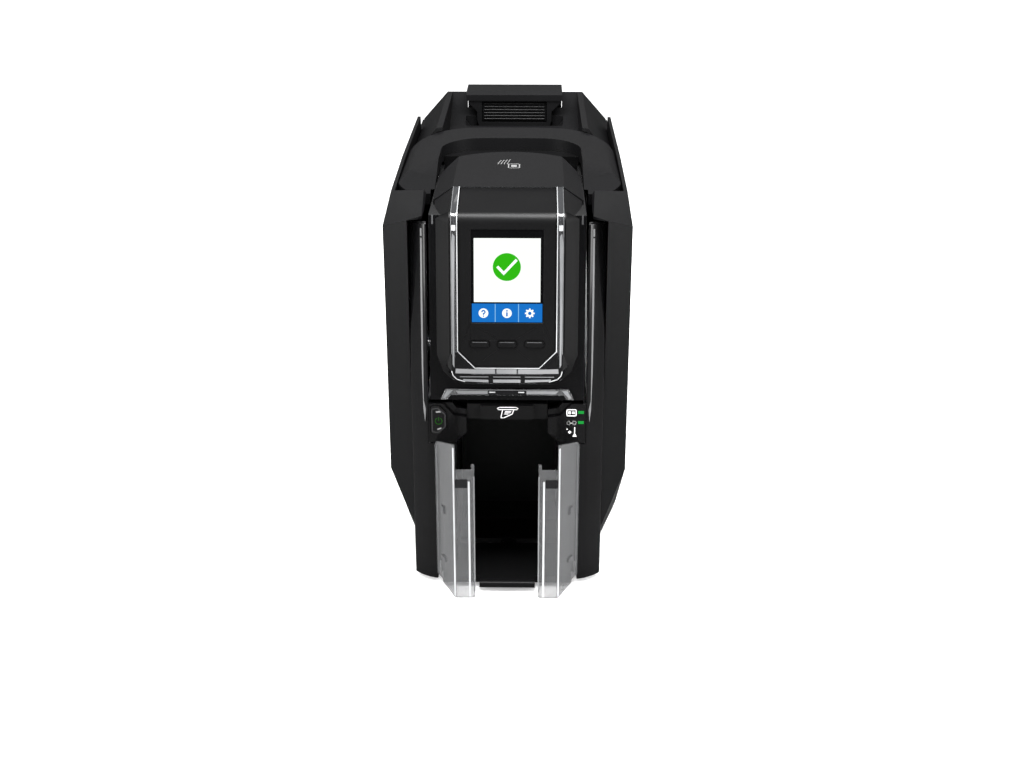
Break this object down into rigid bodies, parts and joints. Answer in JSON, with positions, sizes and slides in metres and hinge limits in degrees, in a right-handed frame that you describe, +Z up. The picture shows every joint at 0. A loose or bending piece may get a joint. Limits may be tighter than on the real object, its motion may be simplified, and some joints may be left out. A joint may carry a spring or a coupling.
{
  "type": "id card printer",
  "caption": "Narrow desktop card printer with a lift-up front cover and display, rear card door, clear output guards, ribbon rolls, print head and belt-driven rollers.",
  "frame": {"origin": "on the table under the middle of the body's width and depth", "axes": "+Z up, the display faces -Y, +X is the object's right seen from the front"},
  "size_m": [0.158, 0.404, 0.27],
  "materials": {
    "panel_plastic": "satin dark grey moulded plastic",
    "gloss_black": "glossy black moulded plastic",
    "satin_black": "satin black moulded plastic",
    "hood_plastic": "soft matte charcoal moulded plastic",
    "clear_plastic": "clear smoked polycarbonate",
    "bezel_plastic": "clear glossy surround over black",
    "display": "lit display glass",
    "light_green": "green light pipe",
    "inner_plastic": "grey engineering plastic",
    "rubber": "black rubber",
    "roller_rubber": "ground roller rubber",
    "sheet_steel": "zinc-plated steel",
    "turned_steel": "turned steel",
    "sintered_bronze": "sintered bronze",
    "circuit_board": "green solder mask",
    "motor_metal": "grey painted motor can",
    "heat_sink": "cast aluminium",
    "ribbon_film": "wound dye ribbon",
    "cleaner_blue": "tacky blue cleaning rubber"
  },
  "bodies": {
    "body": {"base_tray": "panel_plastic", "rubber_feet": "rubber", "left_side_panel": "panel_plastic", "right_side_panel": "panel_plastic", "left_column": "gloss_black", "right_column": "gloss_black", "slot_frame": "satin_black", "slot_label_plate": "satin_black", "left_control_block": "gloss_black", "right_control_block": "gloss_black", "status_lights": "light_green", "output_tray": "satin_black", "left_output_guard": "clear_plastic", "right_output_guard": "clear_plastic", "top_hood": "hood_plastic", "hinge_well": "satin_black", "rear_housing": "hood_plastic", "left_chassis_plate": "sheet_steel", "right_chassis_plate": "sheet_steel", "hinge_pins": "turned_steel", "shaft_bushes": "sintered_bronze", "card_guide": "inner_plastic", "hopper_magazine": "inner_plastic", "drive_motor": "motor_metal", "drive_belt": "rubber", "main_board": "circuit_board", "power_supply": "sheet_steel", "power_inlet": "inner_plastic", "rear_ports": "sheet_steel", "case_screws": "turned_steel"},
    "cover": {"cover_shell": "gloss_black", "contactless_cap": "hood_plastic", "antenna_board": "circuit_board", "display_housing": "satin_black", "display_face": "satin_black", "display_bezel": "bezel_plastic", "display_glass": "display", "display_board": "circuit_board", "light_bar": "clear_plastic", "head_bracket": "sheet_steel", "head_springs": "turned_steel"},
    "head": {"printhead": "heat_sink"},
    "supply_roll": {"ribbon_supply_roll": "ribbon_film"},
    "takeup_roll": {"ribbon_takeup_roll": "ribbon_film"},
    "menu_left": {"left_menu_button": "satin_black"},
    "menu_middle": {"middle_menu_button": "satin_black"},
    "menu_right": {"right_menu_button": "satin_black"},
    "power_key": {"power_button": "satin_black"},
    "door": {"card_door": "hood_plastic"},
    "latch": {"door_latch": "satin_black"},
    "weight": {"card_weight": "inner_plastic"},
    "pinion": {"motor_pinion": "sintered_bronze"},
    "platen": {"platen_shaft": "turned_steel", "platen_roller": "roller_rubber"},
    "exit": {"exit_roller": "roller_rubber"},
    "transport": {"transport_roller": "roller_rubber"},
    "pick": {"pick_roller": "roller_rubber"},
    "cleaner": {"cleaning_roller": "cleaner_blue"},
    "flap": {"diverter_flap": "inner_plastic"}
  },
  "joints": [
    {"name": "cover_hinge", "type": "hinge", "parent": "body", "child": "cover", "pos_m": [0, -0.01, 0.24], "axis": [-1, 0, 0], "range_deg": [0, 80]},
    {"name": "head_float", "type": "slide", "parent": "cover", "child": "head", "axis": [0, 0, 1], "range_m": [0, 0.001], "stiffness_N_per_m": 4000},
    {"name": "supply_turn", "type": "hinge", "parent": "cover", "child": "supply_roll", "pos_m": [0, -0.112, 0.19], "axis": [1, 0, 0], "continuous": true},
    {"name": "takeup_turn", "type": "hinge", "parent": "cover", "child": "takeup_roll", "pos_m": [0, -0.036, 0.19], "axis": [1, 0, 0], "continuous": true},
    {"name": "menu_left_press", "type": "slide", "parent": "cover", "child": "menu_left", "axis": [0, 0.9903, -0.1392], "range_m": [0, 0.0008], "stiffness_N_per_m": 1500},
    {"name": "menu_middle_press", "type": "slide", "parent": "cover", "child": "menu_middle", "axis": [0, 0.9903, -0.1392], "range_m": [0, 0.0008], "stiffness_N_per_m": 1500},
    {"name": "menu_right_press", "type": "slide", "parent": "cover", "child": "menu_right", "axis": [0, 0.9903, -0.1392], "range_m": [0, 0.0008], "stiffness_N_per_m": 1500},
    {"name": "power_press", "type": "slide", "parent": "body", "child": "power_key", "axis": [0, 1, 0], "range_m": [0, 0.001], "stiffness_N_per_m": 1500},
    {"name": "door_hinge", "type": "hinge", "parent": "body", "child": "door", "pos_m": [0, 0.1965, 0.126], "axis": [-1, 0, 0], "range_deg": [0, 75]},
    {"name": "latch_pull", "type": "hinge", "parent": "door", "child": "latch", "pos_m": [0, 0.17, 0.258], "axis": [1, 0, 0], "range_deg": [0, 12], "stiffness_Nm_per_rad": 0.6},
    {"name": "weight_lift", "type": "slide", "parent": "body", "child": "weight", "axis": [0, 0, 1], "range_m": [0, 0.076]},
    {"name": "platen_turn", "type": "hinge", "parent": "body", "child": "platen", "pos_m": [0, -0.06, 0.1232], "axis": [1, 0, 0], "continuous": true},
    {"name": "pinion_turn", "type": "hinge", "parent": "body", "child": "pinion", "pos_m": [0, -0.0456, 0.104], "axis": [1, 0, 0], "continuous": true},
    {"name": "exit_turn", "type": "hinge", "parent": "body", "child": "exit", "pos_m": [0, -0.084, 0.1232], "axis": [1, 0, 0], "continuous": true},
    {"name": "transport_turn", "type": "hinge", "parent": "body", "child": "transport", "pos_m": [0, 0.02, 0.1232], "axis": [1, 0, 0], "continuous": true},
    {"name": "pick_turn", "type": "hinge", "parent": "body", "child": "pick", "pos_m": [0, 0.135, 0.1232], "axis": [1, 0, 0], "continuous": true},
    {"name": "cleaner_turn", "type": "hinge", "parent": "body", "child": "cleaner", "pos_m": [0, 0.02, 0.1391], "axis": [1, 0, 0], "continuous": true},
    {"name": "flap_tilt", "type": "hinge", "parent": "body", "child": "flap", "pos_m": [0, -0.097, 0.1266], "axis": [1, 0, 0], "range_deg": [0, 15]}
  ],
  "couplings": [
    {"joint": "pinion_turn", "follows": "platen_turn", "ratio": -3},
    {"joint": "exit_turn", "follows": "platen_turn", "ratio": 1},
    {"joint": "transport_turn", "follows": "platen_turn", "ratio": 1},
    {"joint": "pick_turn", "follows": "platen_turn", "ratio": 1}
  ]
}
